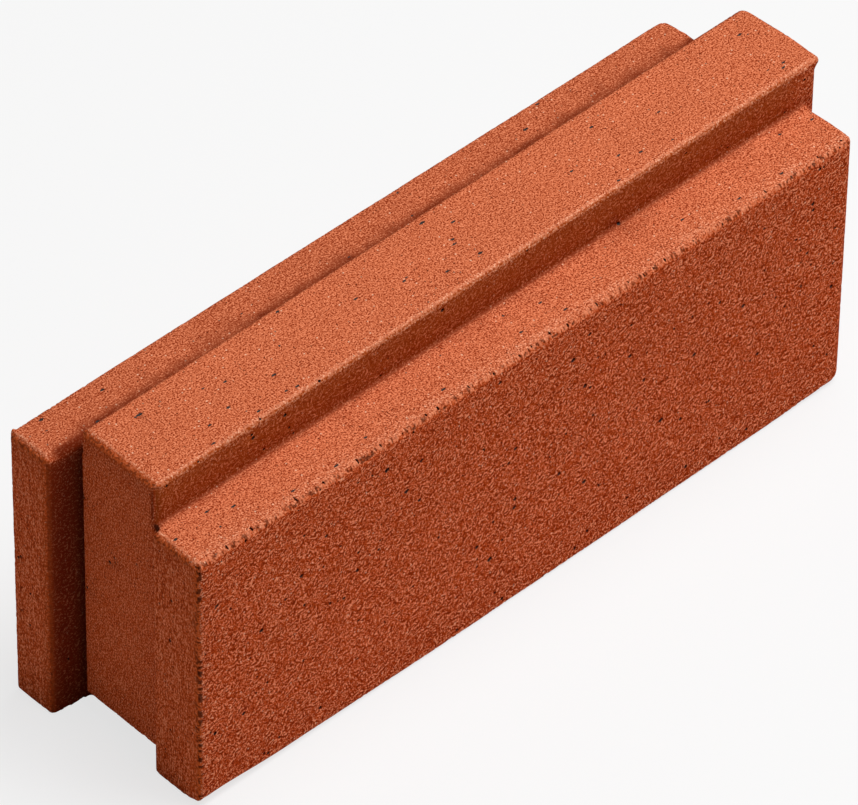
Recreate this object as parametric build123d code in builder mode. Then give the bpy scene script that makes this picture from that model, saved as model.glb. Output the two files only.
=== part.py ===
from build123d import *
import os

# Interlocking mud brick, pressed in one piece.
#
# The brick is three full-length layers side by side. The core sits higher than the two outer
# layers, so it stands out of the top as a bed ridge and leaves a bed groove underneath. It also
# stands out of the right end as a tongue and leaves a recess at the left end, behind the lap of
# the back layer. The ridge and tongue of one brick fill the groove and recess of the next.
#
# +X runs along the wall, +Y from the fair face to the back face, +Z up. The origin is on the
# ground, at the centre of the brick's overall box.

# Front layer, in mm: it shows as the fair face of the wall
front_length = 300.0
front_height = 114.0
front_thickness = 24.0

# Core
core_thickness = 36.0
ridge_rise = 17.0  # ridge above the front land
groove_depth = 8.0  # roof of the bed groove above the ground
core_setback = 3.0  # core behind the front layer at the left end
tongue_reach = 7.0  # core past the front layer at the right end

# Back layer
back_thickness = 23.0
back_shoulder = 10.0  # ridge above the back land
back_lap = 8.0  # back layer past the front layer at the left end
back_setback = 10.0  # back layer behind the front layer at the right end

# Play between ridge and groove and between tongue and recess, on each side
key_clearance = 1.0
recess_flare = 4.0  # how far the mouth of the recess opens along the lap

# Rounding from the mould and from wear
end_corner_radius = 3.0  # upright corners of the right end
arris_radius = 1.2
ridge_radius = 1.6
core_foot_radius = 1.0

# One overrun serves every cut
overrun = 5.0

# Places along the wall
front_start = -(front_length + tongue_reach - back_lap) / 2
front_end = front_start + front_length
core_start = front_start + core_setback
core_end = front_end + tongue_reach
back_start = front_start - back_lap
back_end = front_end - back_setback

# Places across the wall
fair_face = -(front_thickness + core_thickness + back_thickness) / 2
core_front = fair_face + front_thickness
core_back = core_front + core_thickness
back_face = core_back + back_thickness
groove_front = core_front - key_clearance
groove_back = core_back + key_clearance
lap_tip = groove_back + recess_flare

# Heights. A course is as high as the core, because one core stands on the next.
ridge_top = front_height + ridge_rise
back_height = ridge_top - back_shoulder
course_height = ridge_top - groove_depth


def layer_section(y, z, thickness, height):
    """A layer's section across the wall, standing on its lower front corner."""
    with Locations((y, z)):
        Rectangle(thickness, height, align=(Align.MIN, Align.MIN))


def upright_at(x, y):
    """The vertical edge that stands nearest to a place in plan."""
    uprights = brick.edges().filter_by(Axis.Z)
    return uprights.sort_by(lambda e: (e.center().X - x) ** 2 + (e.center().Y - y) ** 2)[0]


def level_face(z, y):
    """The level face nearest to a height, and of those at it the nearest to a place across."""
    faces = brick.faces().filter_by(Axis.Z)
    return faces.sort_by(lambda f: (round(abs(f.center().Z - z)), abs(f.center().Y - y)))[0]


with BuildPart() as brick:
    # Front layer
    with BuildSketch(Plane.YZ.offset(front_start)):
        layer_section(fair_face, 0, front_thickness, front_height)
    extrude(amount=front_length)

    # Back layer
    with BuildSketch(Plane.YZ.offset(back_start)):
        layer_section(core_back, 0, back_thickness, back_height)
    extrude(amount=back_end - back_start)

    # Core, from the roof of the bed groove to the top of the ridge
    with BuildSketch(Plane.YZ.offset(core_start)):
        layer_section(core_front, groove_depth, core_thickness, course_height)
    extrude(amount=core_end - core_start)

    # Bed groove, wider than the ridge by the clearance on each side
    with BuildSketch(Plane.YZ.offset(back_start - overrun)):
        layer_section(groove_front, -overrun, groove_back - groove_front, groove_depth + overrun)
    extrude(amount=core_end - back_start + 2 * overrun, mode=Mode.SUBTRACT)

    # End recess: it clears the tongue at the core and flares out along the back lap
    with BuildSketch():
        with BuildLine():
            Polyline(
                (core_start, groove_front),
                (back_start - overrun, groove_front),
                (back_start - overrun, lap_tip),
                (back_start, lap_tip),
                (core_start, groove_back),
                close=True,
            )
        make_face()
    extrude(amount=ridge_top + overrun, mode=Mode.SUBTRACT)

    # Upright corners of the right end, which are worn round, and then all the others
    fillet(
        [
            upright_at(front_end, fair_face),
            upright_at(back_end, back_face),
            upright_at(core_end, core_back),
        ],
        radius=end_corner_radius,
    )
    fillet(
        [
            upright_at(core_end, core_front),
            upright_at(front_start, fair_face),
            upright_at(front_start, groove_front),
            upright_at(core_start, core_front),
            upright_at(core_start, core_back),
            upright_at(back_start, lap_tip),
            upright_at(back_start, back_face),
        ],
        radius=arris_radius,
    )

    # Ridge top, rounded all round as a lead-in for the groove above
    fillet(level_face(ridge_top, core_front).edges(), radius=ridge_radius)

    # Lands on both sides of the ridge: every edge but the root along the core
    front_land = level_face(front_height, fair_face)
    fillet(front_land.edges().filter_by(lambda e: e.center().Y < groove_front), arris_radius)
    back_land = level_face(back_height, back_face)
    fillet(back_land.edges().filter_by(lambda e: e.center().Y > groove_back), arris_radius)

    # Both beds, with the mouth of the groove between them
    fillet(level_face(0, fair_face).edges(), radius=arris_radius)
    fillet(level_face(0, back_face).edges(), radius=arris_radius)

    # Feet of the core at the recess and under the tongue
    foot_edges = level_face(groove_depth, core_front).edges()
    recess_foot = foot_edges.sort_by(Axis.X)[0]
    tongue_foot = foot_edges.filter_by(lambda e: e.center().X > front_end)
    fillet([recess_foot] + tongue_foot, radius=core_foot_radius)

brick.part.label = "brick"
os.makedirs("parts", exist_ok=True)
export_step(brick.part, "parts/brick.step")
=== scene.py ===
# %% [markdown]
# # An interlocking mud brick
#
# The real thing is red earth with a little cement, pressed damp in a steel mould and dried. Its faces
# are flat and its corners square, so the shape is plain. What makes it look like earth is small: sandy
# grain, open pores, rims that have crumbled and been rubbed pale, with a painted highlight along them,
# and painted shade where two faces meet.
#
# The brick could be drawn again in Blender, but then it would drift from the solid that was measured.
# So the solid comes in as a fixed frame, and everything below is worked on a copy of it: inwards,
# apart from a small tip and a crumb that stand up a little.

import math

import bmesh
import bpy
import numpy as np
from mathutils import Matrix, Vector
from mathutils.bvhtree import BVHTree


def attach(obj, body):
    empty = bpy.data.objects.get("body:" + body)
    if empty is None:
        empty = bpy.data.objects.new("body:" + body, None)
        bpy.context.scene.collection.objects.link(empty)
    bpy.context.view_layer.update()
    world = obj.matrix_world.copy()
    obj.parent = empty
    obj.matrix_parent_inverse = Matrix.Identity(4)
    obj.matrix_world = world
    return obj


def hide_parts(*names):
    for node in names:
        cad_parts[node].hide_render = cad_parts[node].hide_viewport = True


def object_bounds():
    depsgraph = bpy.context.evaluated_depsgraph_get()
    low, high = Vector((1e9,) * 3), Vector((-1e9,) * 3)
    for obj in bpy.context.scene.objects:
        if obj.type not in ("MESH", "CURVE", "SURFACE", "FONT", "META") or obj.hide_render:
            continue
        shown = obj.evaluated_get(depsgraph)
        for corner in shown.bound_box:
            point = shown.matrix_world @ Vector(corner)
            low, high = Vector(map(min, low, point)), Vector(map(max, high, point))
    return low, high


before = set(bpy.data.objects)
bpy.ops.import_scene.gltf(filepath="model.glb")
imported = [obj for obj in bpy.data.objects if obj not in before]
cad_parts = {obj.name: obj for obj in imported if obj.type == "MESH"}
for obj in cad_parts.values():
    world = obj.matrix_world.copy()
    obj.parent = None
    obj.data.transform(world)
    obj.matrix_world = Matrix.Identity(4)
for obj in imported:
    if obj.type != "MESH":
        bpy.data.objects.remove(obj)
solid_low, solid_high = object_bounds()
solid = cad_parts["brick"]
scene = bpy.context.scene
mm = 0.001
print("solid", [round(side / mm, 1) for side in solid_high - solid_low], "mm")

# %% [markdown]
# ## Names for the brick's faces
#
# The brick is three layers side by side: the front layer, the core and the back layer. Wear is placed
# from their faces, so each face gets a name. The outermost six come from the frame. The others could
# be searched for in the solid, but they are so few that the steps from one to the next are written
# down, and then they can be read.

# %% Name the faces, in mm
BACK_START, FAIR_FACE, GROUND = (round(side / mm, 1) for side in solid_low)
CORE_END, BACK_FACE, RIDGE_TOP = (round(side / mm, 1) for side in solid_high)
FRONT_START = BACK_START + 8
FRONT_END = CORE_END - 7
CORE_START = FRONT_START + 3
BACK_END = FRONT_END - 10
CORE_FRONT = FAIR_FACE + 24
CORE_BACK = BACK_FACE - 23
LAND_TOP = RIDGE_TOP - 17
BACK_TOP = RIDGE_TOP - 10
print("left ends at", BACK_START, FRONT_START, CORE_START)
print("right ends at", CORE_END, FRONT_END, BACK_END)

# %% [markdown]
# ## The camera
#
# A long lens seen from far away keeps the brick's parallel edges nearly parallel. A camera could be
# set by eye, but here its place was solved from the brick's own corners, so it is written down as
# numbers: how far round, how high, how much it leans, what it looks at and from how far.
#
# At azimuth 0 the camera would look straight at the fair face. It stands to the left of that.

# %% Set up the camera
AZIMUTH = math.radians(-44.023)
ELEVATION = math.radians(44.656)
LEAN = math.radians(0.926)
AIM = Vector((-4.294, 3.34, 59.411)) * mm
DISTANCE = 3059.2 * mm
LENS = 381.369

backward = Vector((
    math.sin(AZIMUTH) * math.cos(ELEVATION),
    -math.cos(AZIMUTH) * math.cos(ELEVATION),
    math.sin(ELEVATION),
))
level_right = Vector((0, 0, 1)).cross(backward).normalized()
level_up = backward.cross(level_right)
right = math.cos(LEAN) * level_right + math.sin(LEAN) * level_up
up = math.cos(LEAN) * level_up - math.sin(LEAN) * level_right

camera = bpy.data.objects.new("camera", bpy.data.cameras.new("camera"))
camera.data.lens = LENS
camera.data.sensor_width = 36
camera.data.clip_start = 0.1
camera.data.clip_end = 50
turn = Matrix((right, up, backward)).transposed().to_4x4()
camera.matrix_world = Matrix.Translation(AIM + backward * DISTANCE) @ turn
scene.collection.objects.link(camera)
scene.camera = camera
print("camera stands at", [round(part, 3) for part in camera.matrix_world.translation], "m")

# %% [markdown]
# ## A mesh that can hold the wear
#
# One form is cut first, with a block in the shape of the gap. At the left end the recess runs on for
# 5 mm behind the core, between the core and the back layer, and it looks darkest there.
#
# The solid has long thin faces that can't bend. Three ways give it more: subdividing, which makes
# the same long faces finer, sculpting by hand, which nobody can repeat, and a voxel remesh, which
# lays an even grid over the whole surface. The remesh is used, because the same small dents then
# work everywhere. It is fine to start with and is thinned out at the end, where it stays flat.

# %% Lay an even grid over a copy of the solid
GRID = 0.6 * mm

brick = bpy.data.objects.new("pressed_earth_brick", solid.data.copy())
scene.collection.objects.link(brick)
brick.data.materials.clear()


def prism(name, outline, low, high):
    """An upright block with this outline in plan, in mm, between two heights."""
    count = len(outline)
    places = [(x * mm, y * mm, z * mm) for z in (low, high) for x, y in outline]
    sides = [(at, (at + 1) % count, (at + 1) % count + count, at + count) for at in range(count)]
    bottom, top = tuple(range(count))[::-1], tuple(range(count, 2 * count))
    mesh = bpy.data.meshes.new(name)
    mesh.from_pydata(places, [], [bottom, top] + sides)
    block = bpy.data.objects.new(name, mesh)
    scene.collection.objects.link(block)
    return block


def bake_modifier(kind, **settings):
    """Adds one modifier to the brick, keeps its result as the mesh and removes it."""
    modifier = brick.modifiers.new(kind.lower(), kind)
    for name, value in settings.items():
        setattr(modifier, name, value)
    shaped = brick.evaluated_get(bpy.context.evaluated_depsgraph_get())
    old, brick.data = brick.data, bpy.data.meshes.new_from_object(shaped)
    brick.modifiers.clear()
    bpy.data.meshes.remove(old)
    print(kind.lower(), "leaves", len(brick.data.polygons), "faces")


SLOT_END = CORE_START + 5
OUTSIDE = BACK_START - 2.5
SLOT = (
    (OUTSIDE, CORE_BACK), (SLOT_END, CORE_BACK),
    (SLOT_END, CORE_BACK + 3.5), (OUTSIDE, CORE_BACK + 5.25),
)
slot = prism("recess_slot", SLOT, GROUND - 1, BACK_TOP + 4)
bake_modifier("BOOLEAN", operation="DIFFERENCE", solver="EXACT", object=slot)
bpy.data.objects.remove(slot)
bake_modifier("REMESH", mode="VOXEL", voxel_size=GRID, use_smooth_shade=True)

# %% [markdown]
# ## Finding the arrises
#
# Wear sits on the outer edges, which a mason calls arrises. Blender could be told each edge by hand.
# It is simpler to let the mesh say: a copy of it is blurred by moving each point to the middle of
# its neighbours, a few times over. On flat faces nothing moves. On an arris the blurred copy lies
# deeper, and in an inner corner it lies further out, so the difference measures both.

# %% Measure how far each point stands out
BLUR_WIDTH = 1.5 * mm


def read_points(mesh, what):
    """One list of vectors of the mesh, such as co or normal, as an array of a row for each point."""
    values = np.zeros(len(mesh.vertices) * 3, np.float32)
    mesh.vertices.foreach_get(what, values)
    return values.reshape(-1, 3).astype(float)


def keep_measure(name, values):
    """Stores one number or vector for each point with the mesh."""
    kind, slot = ("FLOAT_VECTOR", "vector") if values.ndim == 2 else ("FLOAT", "value")
    attribute = brick.data.attributes.new(name, kind, "POINT")
    attribute.data.foreach_set(slot, values.astype(np.float32).ravel())


def read_measure(name):
    """The stored vector of each point."""
    values = np.zeros(len(brick.data.vertices) * 3, np.float32)
    brick.data.attributes[name].data.foreach_get("vector", values)
    return values.reshape(-1, 3).astype(float)


points = read_points(brick.data, "co")
edges = np.zeros(len(brick.data.edges) * 2, np.int32)
brick.data.edges.foreach_get("vertices", edges)
one_end, other_end = edges.reshape(-1, 2).T
neighbours = np.bincount(edges, minlength=len(points))
blurred = points
for _ in range(round(2 * (BLUR_WIDTH / GRID) ** 2)):
    total = [
        np.bincount(one_end, blurred[other_end, axis], len(points))
        + np.bincount(other_end, blurred[one_end, axis], len(points))
        for axis in range(3)
    ]
    blurred = np.array(total).T / neighbours[:, None]
pull = blurred - points
keep_measure("pull", pull)
keep_measure("flat_normal", read_points(brick.data, "normal"))
print("the blurred copy moves by up to", round(np.abs(pull).max() / mm, 2), "mm")

# %% [markdown]
# ## Where the pores are
#
# Pressed earth keeps small pores where the mould wasn't quite full. The eye knows a brick by the
# large ones, so they are listed in mm as they lie on the real one, with their width: on the fair face
# along and up, on the two upper faces along and across. The rest could be listed too, but nobody
# would miss one of them, so they are strewn at random from six sides. They always fall the same way,
# because the dice start from a fixed seed.

# %% List the large pores
FAIR_PORES = (
    (-130, 32, 1.7), (-122, 66, 1.8), (-104, 79, 1.7), (-79, 64, 1.7), (-66, 102, 2.2), (-57, 86, 1.9),
    (-24, 37, 1.7), (-18, 27, 2.2), (-15, 108, 1.6), (-7, 44, 1.8), (-7, 72, 1.7), (14, 46, 1.7),
    (19, 96, 2), (25, 80, 1.8), (26, 34, 1.9), (46, 80, 1.7), (62, 39, 2), (77, 60, 1.7),
    (100, 68, 1.7), (132, 95, 1.8),
)
LAND_PORES = (
    (-130, -24, 1.3), (-122, -28, 1.4), (-103, -36, 1.3), (-85, -37, 1.5), (-69, -34, 1.3),
    (-35, -35, 1.4), (17, -27, 1.2), (21, -35, 1.3), (101, -36, 1.2), (120, -37, 1.4),
)
RIDGE_PORES = (
    (-119, -15, 1.3), (-114, -8, 1.2), (-104, -6, 1.3), (-98, -14, 1.2), (-83, -5, 1.4),
    (-81, -14, 1.3), (-39, 3, 1.3), (3, 0, 1.3), (4, 2, 1.2), (10, 8, 1.4), (56, -1, 1.3),
    (73, -6, 1.2), (76, 10, 1.3), (145, 9, 1.4), (146, -11, 1.4),
)

# %% Put the large pores in place
TOWARD_BACK, TOWARD_FRONT = Vector((0, 1, 0)), Vector((0, -1, 0))
TOWARD_RIGHT, TOWARD_LEFT = Vector((1, 0, 0)), Vector((-1, 0, 0))
UP, DOWN = Vector((0, 0, 1)), Vector((0, 0, -1))
ROUND, DRAGGED, TORN = 1.0, 2.6, 0.3  # length along the wall, as a share of the width
CLOSED = 0.58  # the lid has closed the pores of the upper faces to this share of their width

pores = []
for along, height, width in FAIR_PORES:
    pores.append((Vector((along, FAIR_FACE, height)) * mm, TOWARD_FRONT, width * mm, ROUND))
for along, across, width in LAND_PORES:
    pores.append((Vector((along, across, LAND_TOP)) * mm, UP, CLOSED * width * mm, DRAGGED))
for along, across, width in RIDGE_PORES:
    pores.append((Vector((along, across, RIDGE_TOP)) * mm, UP, CLOSED * width * mm, DRAGGED))
print(len(pores), "large pores")

# %% Strew the small ones, and a row of torn ones along the rim of the fair face
STREWN = (  # the way it looks at the brick, and how many times
    (TOWARD_BACK, 190), (TOWARD_FRONT, 190), (DOWN, 45), (UP, 110),
    (TOWARD_RIGHT, 30), (TOWARD_LEFT, 30),
)
SMALLEST, SPREAD = 0.6, 0.9
WELL_OUTSIDE = 0.5
RIM_FROM, RIM_TO = FRONT_START + 0.5, FRONT_END - 5.5
RIM_STEPS, RIM_WIDTHS = (4, 15), (1.1, 2.3)
RIM_ACROSS = (FAIR_FACE + 0.3, FAIR_FACE + 2.1)
RIM_HEIGHTS = (LAND_TOP - 0.8, LAND_TOP + 0.1)

surface = BVHTree.FromObject(brick, bpy.context.evaluated_depsgraph_get())
dice = np.random.default_rng(41)
middle, reach = (solid_low + solid_high) / 2, (solid_high - solid_low) / 2
for looking, count in STREWN:
    for _ in range(count):
        aside = Vector(reach[axis] * dice.uniform(-1, 1) for axis in range(3))
        start = middle + aside - looking * (aside.dot(looking) + WELL_OUTSIDE)
        width = (SMALLEST + SPREAD * dice.random() ** 2) * mm
        hit, normal, _, _ = surface.ray_cast(start, looking)
        if hit is not None and abs(normal.z) > 0.8:
            pores.append((hit, normal, 0.7 * width, DRAGGED))
        elif hit is not None:
            pores.append((hit, normal, width, ROUND))

slanting = Vector((0, -1, 1)).normalized()
along = RIM_FROM
while along < RIM_TO:
    along += dice.uniform(*RIM_STEPS)
    place = Vector((along, dice.uniform(*RIM_ACROSS), dice.uniform(*RIM_HEIGHTS)))
    pores.append((place * mm, slanting, dice.uniform(*RIM_WIDTHS) * mm, TORN))
print(len(pores), "pores")

# %% [markdown]
# ## A finer grid where it is needed
#
# A pore of 1 mm needs several faces across, and so does an arris that crumbles. Making the whole
# grid that fine would take far too many faces, so only the faces at a pore or an arris are cut in
# two each way.


# %% Make a finder for points
class Finder:
    """Finds the points near a place quickly, because they are sorted along the brick."""

    def __init__(self, points):
        self.order = np.argsort(points[:, 0])
        self.points = points
        self.along = points[self.order, 0]

    def near(self, place, distance):
        """The numbers of the points within this distance of the place, along each axis."""
        first, last = np.searchsorted(self.along, (place[0] - distance, place[0] + distance))
        numbers = self.order[first:last]
        return numbers[np.abs(self.points[numbers] - place).max(1) < distance]


# %% Split the grid at the pores and the arrises
ARRIS_FROM = 0.12 * mm
PORE_REACH = 1.2

centres = np.zeros(len(brick.data.polygons) * 3, np.float32)
brick.data.polygons.foreach_get("center", centres)
finder = Finder(centres.reshape(-1, 3).astype(float))
corners = np.zeros(len(brick.data.loops), np.int32)
brick.data.loops.foreach_get("vertex_index", corners)
standing_out = (-pull * read_points(brick.data, "normal")).sum(1) > ARRIS_FROM
fine = standing_out[corners.reshape(-1, 4)].any(1)
for place, _, width, stretch in pores:
    fine[finder.near(place, PORE_REACH * width * max(1, stretch / 1.6))] = True
grid = bmesh.new()
grid.from_mesh(brick.data)
grid.faces.ensure_lookup_table()
split = {edge for number in np.flatnonzero(fine) for edge in grid.faces[number].edges}
bmesh.ops.subdivide_edges(grid, edges=list(split), cuts=1, use_grid_fill=True)
bmesh.ops.triangulate(grid, faces=[face for face in grid.faces if len(face.verts) > 4])
grid.to_mesh(brick.data)
grid.free()
print("split grid has", len(brick.data.polygons), "faces")

# %% [markdown]
# ## Random values that change smoothly
#
# All wear below is a depth, and each depth is steered by smooth random values. They could come from
# Blender's own noise, one point at a time. A lattice of random numbers with smooth steps between
# them does the same for all points at once, and its blob size is given in mm.

# %% Define the smooth random values


def cloud(points, blob, seed):
    """Smooth random values from 0 to 1 at these points, with blobs about so many mm across."""
    place = (points + 0.5) / (blob * mm)
    cell = np.floor(place).astype(int)
    step = place - cell
    step = step * step * (3 - 2 * step)
    cell -= cell.min(0)
    lattice = np.random.default_rng(seed).random(cell.max(0) + 2)
    total = np.zeros(len(points))
    for corner in np.ndindex(2, 2, 2):
        share = np.prod(np.where(corner, step, 1 - step), axis=1)
        total += share * lattice[tuple((cell + corner).T)]
    return total


def smooth_step(values, low, high):
    """0 below low, 1 above high, and an S-shaped rise between them."""
    part = np.clip((values - low) / (high - low), 0, 1)
    return part * part * (3 - 2 * part)


# %% [markdown]
# ## Grinding single arrises
#
# Most arrises are still nearly sharp. The ones that hands and neighbours rub have been ground to a
# larger radius. A bevel modifier could do it, but only along whole edges. So each worn arris is given
# by the two faces that meet in it, its radius in mm, and the share of it that is worn.

# %% Define the grinding
points = read_points(brick.data, "co")
pull = read_measure("pull")
normals = read_measure("flat_normal")
normals /= np.linalg.norm(normals, axis=1)[:, None]
along, across, height = points.T / mm
on_front = (across < CORE_FRONT + 0.5).astype(float)
on_back = (across > CORE_BACK + 0.5).astype(float)


def grind(one, other, radius, share=1.0):
    """Rounds off the arris between two faces, each given by a spot on it and the way it looks."""
    on_faces = np.array((one[0], other[0]))
    faces = np.array((one[1], other[1]), float)
    inside = np.array([(on_face - points / mm) @ way for on_face, way in zip(on_faces, faces)])
    beyond = np.clip(radius - inside, 0, None)
    length = np.linalg.norm(beyond, axis=0)
    in_corner = (beyond > 0).all(0) & (length > radius)
    shrink = np.where(in_corner, 1 - radius / np.maximum(length, 1e-9), 0) * share
    points[:] -= (beyond * shrink * mm).T @ faces


def facing(way, place):
    """The face that looks this way and stands at this place: a spot on it, and the way."""
    return tuple(abs(part) * place for part in way), tuple(way)


# %% Grind the worn arrises to their radius
lap_face = ((BACK_START, CORE_BACK + 5, 0), (-0.094, -0.996, 0))
ridge_top, front_land, back_land = [facing(UP, place) for place in (RIDGE_TOP, LAND_TOP, BACK_TOP)]
ridge_front, fair_face = [facing(TOWARD_FRONT, place) for place in (CORE_FRONT, FAIR_FACE)]
left_ends = [facing(TOWARD_LEFT, place) for place in (FRONT_START, CORE_START, BACK_START)]
front_left, core_left, back_left = left_ends
front_right, core_right = [facing(TOWARD_RIGHT, place) for place in (FRONT_END, CORE_END)]
underside = facing(DOWN, GROUND)

on_ridge = smooth_step(height, LAND_TOP + 0.2, LAND_TOP + 1.5)
under_lip = 1 - smooth_step(height, RIDGE_TOP - 6, RIDGE_TOP - 1.5)
by_slot = (along < CORE_START + 7.5) * on_back
toward_left_end = smooth_step(-along, 20, 140)

grind(ridge_top, ridge_front, 1.9)
grind(front_land, fair_face, 2.2)
grind(ridge_top, core_left, 3.2)
grind(front_land, front_left, 2.4, on_front)
grind(back_land, back_left, 2.6, on_back)
grind(back_land, lap_face, 3.2, by_slot)
grind(back_left, lap_face, 2.6, on_back)
grind(core_right, ridge_front, 4.5, under_lip)
grind(core_left, ridge_front, 3.4, on_ridge)
grind(front_right, underside, 8, on_front)
grind(fair_face, underside, 4, toward_left_end)
print("points ground:", int((np.abs(points - read_points(brick.data, "co")).max(1) > 1e-6).sum()))

# %% [markdown]
# ## Ends that aren't quite square
#
# The brick left its mould slightly out of square. Toward the right the back face falls in, at both
# ends the foot of the fair face is lifted a little, and at the right end each of the three layers
# falls back toward its rear. The whole mesh could be sheared, but then every face would move with
# it. Only the last few millimetres are squeezed, so that nothing else moves.

# %% Let the back face fall in and lift the feet of the fair face
BACK_FALL = 1.5
LEFT_LIFT, RIGHT_LIFT = 1.8, 0.9

near_back = smooth_step(across, BACK_FACE - 8.5, BACK_FACE)
points[:, 1] -= BACK_FALL * smooth_step(along, -140, 140) * near_back * mm
lift = LEFT_LIFT * smooth_step(-along, 112, 143) + RIGHT_LIFT * smooth_step(along, 118, 148)
near_front = smooth_step(-across, -FAIR_FACE - 8.5, -FAIR_FACE - 0.5)
points[:, 2] += lift * smooth_step(-height, -9, 0) * near_front * mm
print("feet are lifted by up to", round(lift.max(), 1), "mm")

# %% Let the right end of each layer fall back
SQUEEZED = 7
END_LAYERS = (  # end of the layer, from where and to where across it falls back, and by how much
    (FRONT_END, FAIR_FACE + 12, CORE_FRONT, 0.9),
    (CORE_END, CORE_BACK - 20.5, CORE_BACK, 1.5),
    (BACK_END, BACK_FACE - 11.5, BACK_FACE, 1.2),
)
IN_LAYERS = (
    (on_front > 0) & (height < LAND_TOP + 0.2) & (along < FRONT_END + 0.3),
    (across >= CORE_FRONT + 0.5) & (across <= CORE_BACK + 0.5),
    on_back > 0,
)

for (end_at, low, high, most), in_layer in zip(END_LAYERS, IN_LAYERS):
    fall = most * np.clip((across - low) / (high - low), 0, 1)
    fall *= smooth_step(along, end_at - SQUEEZED, end_at)
    points[:, 0] -= fall * in_layer * mm
print("the core's end falls back by up to", END_LAYERS[1][3], "mm")

# %% [markdown]
# ## Rubbing the arrises and letting them crumble
#
# Two more things happen to an arris. Handling rubs it, more here and less there: each point moves
# part of the way to its place in the blurred copy. And grains break out of it: small bites, close
# together, with their own random depth. The rim of the fair face has crumbled most, and its left
# upright has lost grains big enough to leave notches. Sculpting would do as well, but each bite
# would need a stroke of its own.

# %% Find the arrises
stand_out = -(pull * normals).sum(1) / mm
arris = smooth_step(stand_out, 0.05, 0.45)
worn = np.flatnonzero(arris > 0.01)
at = points[worn]
print("arrises stand out up to", round(stand_out.max(), 2), "mm")
print("corners lie back up to", round(-stand_out.min(), 2), "mm")


def near_line(first, first_at, second, second_at, width):
    """1 on a straight line and 0 a few times its width off. It is given by its places in two ways."""
    return np.exp(-((first - first_at) ** 2 + (second - second_at) ** 2) / width ** 2)


fair_rim = near_line(across, FAIR_FACE + 0.6, height, LAND_TOP - 0.2, 2.0)
fair_upright = near_line(along, FRONT_START, across, FAIR_FACE, 1.6)

# %% Move the points of the arrises inwards
BITE, CRUMB = 0.22, 0.12  # mm deep, on any arris
RIM_BITE, RIM_CRUMB = 0.45, 0.15  # and on top of that at the rim of the fair face
NOTCH = 0.6
SWELL, RIPPLE = 0.08, 0.05  # how far the flat faces wave, over 35 mm and over 8 mm

rub = 0.05 + 0.4 * cloud(at, 9, 1) * cloud(at, 2.5, 2)
bites = smooth_step(cloud(at * (1.5, 0.6, 0.6), 1.1, 3), 0.6, 0.9)
bites *= smooth_step(cloud(at, 5, 4), 0.2, 0.7)
crumbs = smooth_step(cloud(at, 0.8, 5), 0.55, 0.95)
notches = smooth_step(cloud(at * (0.6, 0.6, 1.4), 1.8, 10), 0.42, 0.66)
depth = arris[worn] * (BITE * bites + CRUMB * crumbs)
depth += fair_rim[worn] * (RIM_BITE * bites + RIM_CRUMB * crumbs)
depth += fair_upright[worn] * NOTCH * notches
dug = np.zeros(len(points))
dug[worn] = depth

swell = SWELL * cloud(points, 35, 6) + RIPPLE * cloud(points, 8, 7)
worked = points - normals * ((dug + swell) * mm)[:, None]
worked[worn] += pull[worn] * (arris[worn] * rub)[:, None]
print("deepest bite", round(dug.max(), 2), "mm")

# %% [markdown]
# ## Three places of their own
#
# At the foot of the ridge's left front corner a crumb has broken out and left a nook, which is painted
# dark further down as the shade in it. The left back corner has kept a small raised tip. At the right
# end a crumb of earth sticks to the land, against the ridge. Separate pieces could be added for them,
# but the real ones are one with the brick, so the same mesh is pulled.

# %% Break out the nook, raise the tip and add the crumb
NOOK_DEPTH, TIP_RISE, CRUMB_RISE = 1.6, 1.5, 1.7


def spot(place, radius):
    """1 in the middle of a place in mm, falling to 0 at the radius."""
    return 1 - smooth_step(np.linalg.norm(points / mm - place, axis=1), 0, radius)


nook = spot((CORE_START - 1.2, CORE_FRONT + 0.2, LAND_TOP - 1.2), 3.9)
worked += np.outer(nook * NOOK_DEPTH * mm, (0.6, -0.3, -0.7))
tip = spot((BACK_START + 0.9, BACK_FACE - 0.5, BACK_TOP), 2.1)
worked[:, 2] += tip * TIP_RISE * mm
crumb = spot((FRONT_END - 1.9, CORE_FRONT - 1.5, LAND_TOP), 3.2) * (normals[:, 2] > 0.5)
worked[:, 2] += crumb * CRUMB_RISE * mm * (0.5 + 0.5 * cloud(points, 0.9, 9))
for name, share in (("nook", nook), ("tip", tip), ("crumb", crumb)):
    print(name, "moves", int((share > 0).sum()), "points")

# %% [markdown]
# ## Opening the pores
#
# A pore is a small steep hole with a ragged mouth. On the upper faces the mould's lid dragged the
# pores long in the direction of the wall, on the sides they are nearly round. Cutting each with a
# boolean would be slow and leave bad faces, so the points inside a pore's mouth are pushed in.

# %% Press the pores in
PORE_DEPTH = 0.8  # as a share of the width
HAIR = 0.01 * mm  # the mesh stays this far inside the solid's box

finder = Finder(points)
pore = np.zeros(len(points))
for place, normal, width, stretch in pores:
    numbers = finder.near(place, PORE_REACH * width * max(1, stretch))
    if not len(numbers):
        continue
    away = (points[numbers] - place) / (width / 2)
    away[:, 0] /= stretch
    ragged = 0.7 + 0.6 * cloud(points[numbers], 0.5, 8)
    inside = 1 - smooth_step(np.linalg.norm(away, axis=1) * ragged, 0.55, 1.0)
    worked[numbers] -= np.outer(inside * PORE_DEPTH * width * min(1, 1.6 * stretch), normal)
    pore[numbers] = np.maximum(pore[numbers], inside)
worked = np.clip(worked, np.array(solid_low) + HAIR, np.array(solid_high) - HAIR)
brick.data.vertices.foreach_set("co", worked.ravel())
print("pores cover", int((pore > 0.5).sum()), "points")
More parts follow.
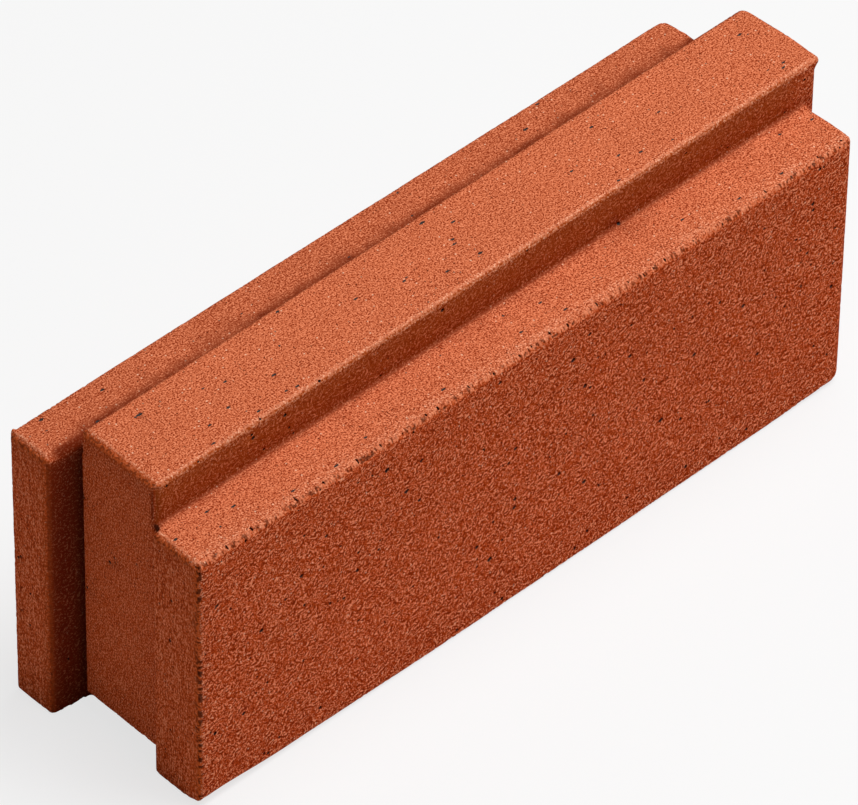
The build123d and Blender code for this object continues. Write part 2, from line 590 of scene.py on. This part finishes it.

# %% [markdown]
# ## What the paint needs to know
#
# The material can ask for a place or a normal, but not for "is this an arris?". So the measured
# values go along with the mesh as attributes, one number for each point.
#
# pale marks rims painted light: partly earth rubbed pale and partly a painted highlight along the arris.
# crumbly is an arris whose grains have fallen out. A third measure holds painted shade, where light
# hardly reaches: the recess and its slot, the foot of the ridge on both sides, the ridge's back rim,
# the nook and the rounded upright above it, and more faintly the tops of the left ends, the foot of
# the fair face and the whole back land. Each measure is the strongest of several lines and areas.
# Painting them by hand would be another way, but then nothing would follow the faces.

# %% Measure where the earth is pale or crumbly
up_facing = smooth_step(normals[:, 2], 0.3, 0.7)
in_core = ((across > CORE_FRONT - 0.1) & (across < CORE_BACK + 0.1)).astype(float)
pale = np.maximum.reduce([
    near_line(along, CORE_START + 2.3, height, RIDGE_TOP, 1.2) * in_core * 0.62,
    near_line(along, FRONT_START + 1.9, height, LAND_TOP, 1.1) * on_front * 0.7,
    near_line(along, BACK_START + 1.6, height, BACK_TOP, 1.4) * on_back * 0.7,
    near_line(across, CORE_FRONT + 1, height, RIDGE_TOP, 1.3) * 0.74,
    near_line(across, CORE_FRONT, height, RIDGE_TOP - 1.1, 1.2) * 0.6,
    near_line(along, FRONT_START + 1.3, across, FAIR_FACE, 1.3) * 0.52,
    near_line(across, FAIR_FACE + 3.5, height, LAND_TOP, 2.2) * 0.68,
])
crumbly = np.maximum.reduce([
    near_line(along, CORE_START + 0.6, height, RIDGE_TOP - 0.8, 1.6) * in_core,
    near_line(along, FRONT_START + 0.3, height, LAND_TOP - 1.3, 1.7) * on_front,
    near_line(along, BACK_START + 0.1, height, BACK_TOP - 1.8, 1.8) * on_back,
    near_line(along, FRONT_START + 0.1, across, FAIR_FACE + 1.1, 1.1) * 1.3,
    near_line(along, BACK_START + 0.3, across, CORE_BACK + 5.7, 1.9) * on_back * 0.6,
])
print("pale", int((pale > 0.3).sum()), "points, crumbly", int((crumbly > 0.3).sum()))

# %% Measure the ridge's front wall and the recess, both painted darker as shade
wall = smooth_step(np.abs(normals[:, 1]), 0.5, 0.8) * smooth_step(height, LAND_TOP, LAND_TOP + 0.6)
wall *= in_core * (1 - 0.6 * smooth_step(along, 138, 152))
beside_core = (along < SLOT_END + 0.5) * (across > CORE_BACK + 0.1) * (across < BACK_FACE - 15.5)
recess = beside_core * smooth_step(-normals[:, 1], 0.25, 0.6)
in_slot = (along > CORE_START + 0.1) * (along < SLOT_END + 0.5)
in_slot = in_slot * (across > CORE_BACK - 0.1) * (across < CORE_BACK + 4.1)
in_slot = in_slot * smooth_step(-height, 0.5 - BACK_TOP, 1.5 - BACK_TOP)
slot_edge = by_slot * smooth_step(-across, -27.8, -24.4)
slot_edge *= smooth_step(height, BACK_TOP - 4, BACK_TOP - 2)
slot_edge *= smooth_step(along, BACK_START + 0.5, BACK_START + 6.5)
print("recess", int(recess.sum()), "points, slot", int(in_slot.sum()))

# %% Measure where shade is painted
foot = on_back * (along > CORE_START + 7) * up_facing
ridge_upright = near_line(along, CORE_START + 0.1, across, CORE_FRONT + 1.7, 0.9) * on_ridge
ridge_upright *= smooth_step(-height, 1 - RIDGE_TOP, 3 - RIDGE_TOP)
layer_top = RIDGE_TOP - (RIDGE_TOP - LAND_TOP) * on_front - (RIDGE_TOP - BACK_TOP) * on_back
end_tops = smooth_step(height - layer_top, -14, -4) * smooth_step(-normals[:, 0], 0.6, 0.9)
fair_foot = smooth_step(-height, -32, -6) * smooth_step(-across, -FAIR_FACE - 0.7, -FAIR_FACE - 0.2)
painted_shade = np.maximum.reduce([
    recess * 0.95 * smooth_step(-height, 1.5 - BACK_TOP, 3.5 - BACK_TOP),
    in_slot * 0.95,
    slot_edge * 0.95,
    foot * (0.11 + 0.84 * smooth_step(-across, -28.8, -25.8)),
    near_line(across, CORE_FRONT - 0.4, height, LAND_TOP + 0.2, 1.1) * 0.75,
    near_line(across, CORE_BACK - 0.5, height, RIDGE_TOP - 0.4, 0.8) * 0.6,
    ridge_upright * 0.8,
    near_line(along, BACK_START + 0.3, across, CORE_BACK + 5.7, 1.6) * on_back * 0.4,
    end_tops * 0.14,
    nook,
    0.15 * on_back * up_facing,
    0.14 * fair_foot,
])
print("in_painted_shade", int((painted_shade > 0.3).sum()), "points")

# %% Keep the measures and thin out the flat parts
FACES_KEPT = 190000
DEEP_BITE = 0.3

for name in ("pull", "flat_normal"):
    brick.data.attributes.remove(brick.data.attributes[name])
measures = {
    "fair_rim": fair_rim, "pale": pale, "crumbly": crumbly, "wall": wall, "painted_shade": painted_shade,
    "pore": pore, "dug": np.maximum(np.clip(dug / DEEP_BITE, 0, 1), smooth_step(nook, 0.2, 0.6)),
}
for name, values in measures.items():
    keep_measure(name, values)
brick.data.update()

triangles = sum(len(face.vertices) - 2 for face in brick.data.polygons)
bake_modifier("DECIMATE", ratio=min(1, FACES_KEPT / triangles), use_collapse_triangulate=True)
for face in brick.data.polygons:
    face.use_smooth = True
print("from", triangles, "triangles")

# %% [markdown]
# ## Colours and nodes
#
# Colours are written as they look on a screen, in hex. Blender reckons in linear light, so one
# function turns them. Another adds a node with its settings and links in one line.

# %% Define the colour and node helpers


def linear(hex_colour):
    """A colour as written for a screen, such as #C86A48, as Blender's linear RGBA."""
    parts = [int(hex_colour[at:at + 2], 16) / 255 for at in (1, 3, 5)]
    return [part / 12.92 if part <= 0.04045 else ((part + 0.055) / 1.055) ** 2.4 for part in parts] + [1]


def add(kind, inputs=None, output=0, **settings):
    """Adds a node, sets or links its sockets from inputs, and returns one of its outputs."""
    node = tree.nodes.new(kind)
    for name, value in settings.items():
        setattr(node, name, value)
    for name, value in (inputs or {}).items():
        if isinstance(value, bpy.types.NodeSocket):
            tree.links.new(value, node.inputs[name])
        else:
            node.inputs[name].default_value = value
    return node.outputs[output] if node.outputs else None


# %% [markdown]
# ## Pressed red earth
#
# The material is laterite: clay and fine sand coloured by iron, pressed and left unfired. It is dull
# and thirsty, so hardly anything shines. Pressing leaves a sandy grain of about half a millimetre,
# and the sliding mould smears it into little worms on the upright faces.
#
# A photograph could be wrapped round the brick, but it would bring its own light and seams. Noise in
# three dimensions has neither, because each point of the surface looks up its own value.

# %% Start the material and its base colours
TOP_RED = linear("#D37049")
SIDE_RED = linear("#C54814")
END_RED = linear("#C84F1C")
WALL_SHADE_BROWN = linear("#A64816")
SHADE_BROWN = linear("#621902")
PALE_RIM = linear("#E8936E")
ARRIS_ORANGE = linear("#C95722")
PALE_GRAIN = linear("#F79970")
DARK_GRAIN = linear("#802301")
PALE_SAND = linear("#F8C6A6")
GAP_BROWN = linear("#4A1403")
BITE_DARK = linear("#3F1204")
PORE_DARK = linear("#150603")
PORE_SLATE = linear("#403B39")

earth = bpy.data.materials.new("pressed_red_earth")
earth.use_nodes = True
tree = earth.node_tree
tree.nodes.clear()
place = add("ShaderNodeTexCoord", output="Object")
faces = add("ShaderNodeSeparateXYZ", {0: add("ShaderNodeTexCoord", output="Normal")}, output="Z")
facing_end = add("ShaderNodeMath", {0: faces.node.outputs["X"]}, operation="ABSOLUTE")
marks = {name: add("ShaderNodeAttribute", output="Fac", attribute_name=name) for name in measures}

# Painted light and shade: the upper faces are painted paler and the uprights a deeper red, the ends a
# little lighter than the fair face, on top of what the lamp gives.
top = add("ShaderNodeMapRange", {"Value": faces, "From Min": 0.35, "From Max": 0.8})
end = add("ShaderNodeMapRange", {"Value": facing_end, "From Min": 0.5, "From Max": 0.85})
colour = add("ShaderNodeMix", {0: end, 6: SIDE_RED, 7: END_RED}, output=2, data_type="RGBA")
colour = add("ShaderNodeMix", {0: top, 6: colour, 7: TOP_RED}, output=2, data_type="RGBA")
# Painted shade: the ridge's front wall is painted a darker brown.
colour = add("ShaderNodeMix", {0: marks["wall"], 6: colour, 7: WALL_SHADE_BROWN}, output=2, data_type="RGBA")
# Painted shade: the recess, the roots of the ridge, the nook and the other places measured above turn a
# dark brown.
painted_shade = marks["painted_shade"]
colour = add("ShaderNodeMix", {0: painted_shade, 6: colour, 7: SHADE_BROWN}, output=2, data_type="RGBA")

# %% [markdown]
# ## Three kinds of grain
#
# The upper faces were pressed by a flat plate: single grains of sand, each its own shade. The large
# upright faces show little worms, light ridges beside dark furrows. The ends show fine marks that run
# up and down, the way the brick was pushed out. Each becomes a number from -1, the darkest grain, to
# 1, the palest, and the facing picks one.
#
# A worm is a light ridge beside a dark furrow. Smooth noise less the same noise read a third of a
# millimetre further up and to the left gives just that, as if it were lit from there. A second
# noise turns that way about from place to place, or all worms would lie alike.

# %% Make the grain
SAND_GRAIN, DUST = 0.36, 0.55  # mm across
WORM, SWIRL = 1.2, 2.6
DRAG = 0.4
LIT_FROM = (-0.00012, 0, 0.00025)
TURN = 0.0022  # in m, how far the swirl moves the spot that a worm is lit from
END_GRAIN = 0.8  # strength, where the other grains have 1

sand = add("ShaderNodeVectorMath", {0: place, 1: (0.75, 1, 1)}, operation="MULTIPLY")
sand = add("ShaderNodeTexVoronoi", {"Vector": sand, "Scale": 1000 / SAND_GRAIN}, output="Color")
sand = add("ShaderNodeSeparateColor", {0: sand})
sand = add("ShaderNodeMapRange", {"Value": sand, "To Min": -0.4, "To Max": 0.4})
dust = add("ShaderNodeTexNoise", {"Vector": place, "Scale": 1000 / DUST, "Detail": 0})
dust = add("ShaderNodeMapRange", {
    "Value": dust, "From Min": 0.25, "From Max": 0.75, "To Min": -0.8, "To Max": 0.8,
})
sand = add("ShaderNodeMath", {0: sand, 1: dust}, operation="ADD")
sand = add("ShaderNodeMapRange", {
    "Value": sand, "From Min": -1.35, "From Max": 1.35, "To Min": -1.6, "To Max": 1.25,
})

swirl = add("ShaderNodeTexNoise", {"Vector": place, "Scale": 1000 / SWIRL, "Detail": 0}, output="Color")
swirl = add("ShaderNodeVectorMath", {0: swirl, 1: (0.5, 0.5, 0.5)}, operation="SUBTRACT")
shift = add("ShaderNodeVectorMath", {0: swirl, 1: (TURN, 0, TURN), 2: LIT_FROM}, operation="MULTIPLY_ADD")
shifted = add("ShaderNodeVectorMath", {0: place, 1: shift}, operation="ADD")
here, beside = [
    add("ShaderNodeTexNoise", {
        "Vector": at, "Scale": 1000 / WORM, "Detail": 1, "Roughness": 0.6, "Distortion": 0.6,
    })
    for at in (place, shifted)
]
# Painted light and shade: a worm's light ridge and dark furrow, as if lit from LIT_FROM, go into the
# colour as well as the bump.
worm = add("ShaderNodeMath", {0: here, 1: beside}, operation="SUBTRACT")
worm = add("ShaderNodeMapRange", {
    "Value": worm, "From Min": -0.14, "From Max": 0.14, "To Min": -1.14, "To Max": 1.1,
})
worm = add("ShaderNodeMath", {0: sand, 1: 0.7, 2: worm}, operation="MULTIPLY_ADD")

drags = []
for length, strength in ((0.5, 1), (0.07, 0.35)):
    drag = add("ShaderNodeVectorMath", {0: place, 1: (1, 1, length)}, operation="MULTIPLY")
    drag = add("ShaderNodeTexNoise", {"Vector": drag, "Scale": 1000 / DRAG, "Detail": 0})
    drags.append(add("ShaderNodeMapRange", {
        "Value": drag, "From Min": 0.25, "From Max": 0.75, "To Min": -strength, "To Max": strength,
    }))
drag = add("ShaderNodeMath", {0: drags[0], 1: drags[1]}, operation="ADD")
drag = add("ShaderNodeMath", {0: drag, 1: END_GRAIN}, operation="MULTIPLY")

upright = add("ShaderNodeMix", {0: end, 2: worm, 3: drag})
grain = add("ShaderNodeMix", {0: top, 2: upright, 3: sand})

# %% Colour the grain
PATCH = 18  # mm across, the size of slightly paler and darker patches

quiet = add("ShaderNodeMapRange", {"Value": painted_shade, "From Min": 0.25, "To Min": 1, "To Max": 0.15})
smooth_wall = add("ShaderNodeMapRange", {"Value": marks["wall"], "To Min": 1, "To Max": 0.45})
quiet = add("ShaderNodeMath", {0: quiet, 1: smooth_wall}, operation="MULTIPLY")
grain = add("ShaderNodeMath", {0: grain, 1: quiet}, operation="MULTIPLY")
paler = add("ShaderNodeMapRange", {"Value": grain, "To Max": 0.85})
darker = add("ShaderNodeMapRange", {"Value": grain, "From Max": -1, "To Max": 0.95})
colour = add("ShaderNodeMix", {0: paler, 6: colour, 7: PALE_GRAIN}, output=2, data_type="RGBA")
colour = add("ShaderNodeMix", {0: darker, 6: colour, 7: DARK_GRAIN}, output=2, data_type="RGBA")
patches = add("ShaderNodeTexNoise", {"Vector": place, "Scale": 1000 / PATCH, "Detail": 3})
patches = add("ShaderNodeMapRange", {
    "Value": patches, "From Min": 0.3, "From Max": 0.7, "To Min": 0.97, "To Max": 1.03,
})
colour = add(
    "ShaderNodeMix", {0: 1.0, 6: colour, 7: patches}, output=2, data_type="RGBA", blend_type="MULTIPLY",
)

# %% Strew pale and dark single grains
FLECK = 1.6  # mm from one single grain to the next
PALE_FROM, DARK_FROM = 0.87, 0.8  # the rest of the cells stay as they are

flecks = add("ShaderNodeTexVoronoi", {"Vector": place, "Scale": 1000 / FLECK}, output="Color")
distance = flecks.node.outputs["Distance"]
flecks = add("ShaderNodeSeparateColor", {0: flecks})
second = flecks.node.outputs[1]
close = add("ShaderNodeMapRange", {
    "Value": distance, "From Min": 0.14, "From Max": 0.24, "To Min": 0.75, "To Max": 0,
})
close = add("ShaderNodeMath", {0: close, 1: quiet}, operation="MULTIPLY")
single_pale = add("ShaderNodeMath", {0: flecks, 1: PALE_FROM}, operation="GREATER_THAN")
single_pale = add("ShaderNodeMath", {0: single_pale, 1: close}, operation="MULTIPLY")
single_dark = add("ShaderNodeMath", {0: second, 1: DARK_FROM}, operation="GREATER_THAN")
single_dark = add("ShaderNodeMath", {0: single_dark, 1: close}, operation="MULTIPLY")
colour = add("ShaderNodeMix", {0: single_pale, 6: colour, 7: PALE_SAND}, output=2, data_type="RGBA")
colour = add("ShaderNodeMix", {0: single_dark, 6: colour, 7: BITE_DARK}, output=2, data_type="RGBA")

# %% [markdown]
# ## Rims, bites and pores
#
# The measures that came with the mesh now paint: rounded arrises a deeper orange, partly painted light
# where the fair rim turns toward the lamp; rims rubbed pale, partly a painted highlight; crumbly
# arrises with painted shade in the gaps between their grains; bites darker than the face and pores
# nearly black, both painted shade in their hollows. Noise breaks each of them up, because a rim that
# is pale all along would look painted.

# %% Paint the rims
LUMP, GAP, STREAK = 0.9, 1.0, 0.8  # mm across

# Rounded arrises turn a deeper orange: partly their own tone and partly painted light where the fair rim
# turns toward the lamp.
edge = add("ShaderNodeMapRange", {"Value": marks["fair_rim"], "From Min": 0.45, "From Max": 0.85})
below = add("ShaderNodeMath", {0: 1, 1: top}, operation="SUBTRACT")
orange = add("ShaderNodeMath", {0: edge, 1: below}, operation="MULTIPLY")
orange = add("ShaderNodeMath", {0: orange, 1: 0.6}, operation="MULTIPLY")
orange = add("ShaderNodeMath", {0: orange, 1: marks["crumbly"]}, operation="MAXIMUM")
orange = add("ShaderNodeMath", {0: orange, 1: 0.75}, operation="MULTIPLY")
colour = add("ShaderNodeMix", {0: orange, 6: colour, 7: ARRIS_ORANGE}, output=2, data_type="RGBA")

# Pale rims: partly earth rubbed pale and partly a painted highlight along the arris, with pale sand
# grains strewn on them.
lumps = add("ShaderNodeTexNoise", {"Vector": place, "Scale": 1000 / LUMP, "Detail": 1})
pale_rim_wear_and_highlight = add("ShaderNodeMath", {0: marks["pale"], 1: lumps}, operation="SUBTRACT")
pale_rim_wear_and_highlight = add("ShaderNodeMapRange", {"Value": pale_rim_wear_and_highlight, "From Min": 0, "From Max": 0.16, "To Max": 0.42})
colour = add("ShaderNodeMix", {0: pale_rim_wear_and_highlight, 6: colour, 7: PALE_RIM}, output=2, data_type="RGBA")
bright = add("ShaderNodeMapRange", {"Value": sand, "From Min": 0.35, "From Max": 0.6, "To Max": 0.7})
bright = add("ShaderNodeMath", {0: bright, 1: marks["pale"]}, operation="MULTIPLY")
colour = add("ShaderNodeMix", {0: bright, 6: colour, 7: PALE_SAND}, output=2, data_type="RGBA")

# Painted shade: dark gaps between the grains of a crumbly arris, where shade falls.
gaps = add("ShaderNodeTexNoise", {"Vector": place, "Scale": 1000 / GAP, "Detail": 0})
gaps = add("ShaderNodeMapRange", {"Value": gaps, "From Min": 0.52, "From Max": 0.6, "To Max": 0.6})
gaps = add("ShaderNodeMath", {0: gaps, 1: marks["crumbly"]}, operation="MULTIPLY")
colour = add("ShaderNodeMix", {0: gaps, 6: colour, 7: GAP_BROWN}, output=2, data_type="RGBA")

streaks = add("ShaderNodeVectorMath", {0: place, 1: (1, 0.25, 0.25)}, operation="MULTIPLY")
streaks = add("ShaderNodeTexNoise", {"Vector": streaks, "Scale": 1000 / STREAK, "Detail": 0})
ridges = add("ShaderNodeMapRange", {"Value": streaks, "From Min": 0.5, "From Max": 0.62, "To Max": 0.45})
ridges = add("ShaderNodeMath", {0: ridges, 1: edge}, operation="MULTIPLY")
colour = add("ShaderNodeMix", {0: ridges, 6: colour, 7: PALE_RIM}, output=2, data_type="RGBA")

# %% Paint the cracks, bites and pores
CRACK = 2.8  # mm, about how long a crack runs on before it stops

cracks = add("ShaderNodeMapRange", {"Value": streaks, "From Min": 0.45, "From Max": 0.37, "To Max": 0.7})
broken = add("ShaderNodeTexNoise", {"Vector": place, "Scale": 1000 / CRACK, "Detail": 0})
broken = add("ShaderNodeMapRange", {"Value": broken, "From Min": 0.4, "From Max": 0.55})
cracks = add("ShaderNodeMath", {0: cracks, 1: broken}, operation="MULTIPLY")
cracks = add("ShaderNodeMath", {0: cracks, 1: edge}, operation="MULTIPLY")
# Painted shade: bites and the nook are painted dark in their hollows. The cracks along the fair rim are
# dark lines of their own.
bites = add("ShaderNodeMapRange", {"Value": marks["dug"], "From Min": 0.65, "To Max": 0.75})
cracks = add("ShaderNodeMath", {0: cracks, 1: bites}, operation="MAXIMUM")
colour = add("ShaderNodeMix", {0: cracks, 6: colour, 7: BITE_DARK}, output=2, data_type="RGBA")

# Painted shade: pores are painted nearly black, the shade inside the hole, and slate grey on the upper
# faces.
off_rim = {"Value": marks["fair_rim"], "From Max": 0.1, "To Min": 1, "To Max": 0}
slate = add("ShaderNodeMapRange", off_rim)
slate = add("ShaderNodeMath", {0: slate, 1: top}, operation="MULTIPLY")
pore_colour = add("ShaderNodeMix", {0: slate, 6: PORE_DARK, 7: PORE_SLATE}, output=2, data_type="RGBA")
pore_share = add("ShaderNodeMapRange", {"Value": marks["pore"], "From Min": 0.05, "From Max": 0.3})
colour = add("ShaderNodeMix", {0: pore_share, 6: colour, 7: pore_colour}, output=2, data_type="RGBA")

# %% Give the grain its relief and finish the shader
relief = add("ShaderNodeBump", {"Height": grain, "Strength": 1.0, "Distance": 0.03 * mm})
add(
    "ShaderNodeOutputMaterial",
    {"Surface": add("ShaderNodeBsdfPrincipled", {
        "Base Color": colour, "Roughness": 0.95, "Specular IOR Level": 0.05, "Normal": relief,
    })},
)
brick.data.materials.append(earth)
print(len(tree.nodes), "nodes in the earth")

# %% [markdown]
# ## Floor, light and background
#
# The photo is a cut-out on white paper. One large lamp hangs high above the brick, a little toward
# its right front, so the upper faces are pale, the sides darker, and the shadows soft. A picture of
# a sky could light it too, but it would tint the red. The paper glows for the camera alone, so it
# looks white and still takes a shadow. From below it is clear.

# %% Lay the floor
bpy.ops.mesh.primitive_plane_add(size=8, location=(0, 0, -0.0002))
floor = bpy.context.object
floor.name = "floor"
paper = bpy.data.materials.new("white_paper")
paper.use_nodes = True
tree = paper.node_tree
tree.nodes.clear()
rays = add("ShaderNodeLightPath").node.outputs
diffuse = add("ShaderNodeBsdfDiffuse", {"Color": linear("#E8E8E8")})
glow = add("ShaderNodeEmission", {"Color": (1, 1, 1, 1), "Strength": 1.0})
lit = add("ShaderNodeMixShader", {0: 0.72, 1: diffuse, 2: glow})
seen = add("ShaderNodeMixShader", {0: rays["Is Camera Ray"], 1: diffuse, 2: lit})
under = add("ShaderNodeNewGeometry", output="Backfacing")
clear = add("ShaderNodeBsdfTransparent")
one_sided = add("ShaderNodeMixShader", {0: under, 1: seen, 2: clear})
add("ShaderNodeOutputMaterial", {"Surface": one_sided})
floor.data.materials.append(paper)

# %% Hang the lamp
LAMP_SIDE = 1.2  # in m
LAMP_POWER = 36  # in W

lamp = bpy.data.objects.new("softbox", bpy.data.lights.new("softbox", "AREA"))
lamp.data.shape = "SQUARE"
lamp.data.size = LAMP_SIDE
lamp.data.energy = LAMP_POWER
lamp.location = (0.42, -0.35, 1.8)
lamp.rotation_euler = Vector(lamp.location).to_track_quat("Z", "Y").to_euler()
scene.collection.objects.link(lamp)
print("lamp hangs", round(lamp.location.z, 2), "m up")

# %% Light the room
world = bpy.data.worlds.new("pale_room")
scene.world = world
world.use_nodes = True
tree = world.node_tree
tree.nodes.clear()
rays = add("ShaderNodeLightPath").node.outputs
room = add("ShaderNodeBackground", {"Color": (1, 1, 1, 1), "Strength": 0.12})
white = add("ShaderNodeBackground", {"Color": (1, 1, 1, 1), "Strength": 1.0})
mixed = add("ShaderNodeMixShader", {0: rays["Is Camera Ray"], 1: room, 2: white})
add("ShaderNodeOutputWorld", {"Surface": mixed})
scene.view_settings.view_transform = "Standard"

# %% Hand the brick over
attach(brick, "root")
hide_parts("brick")
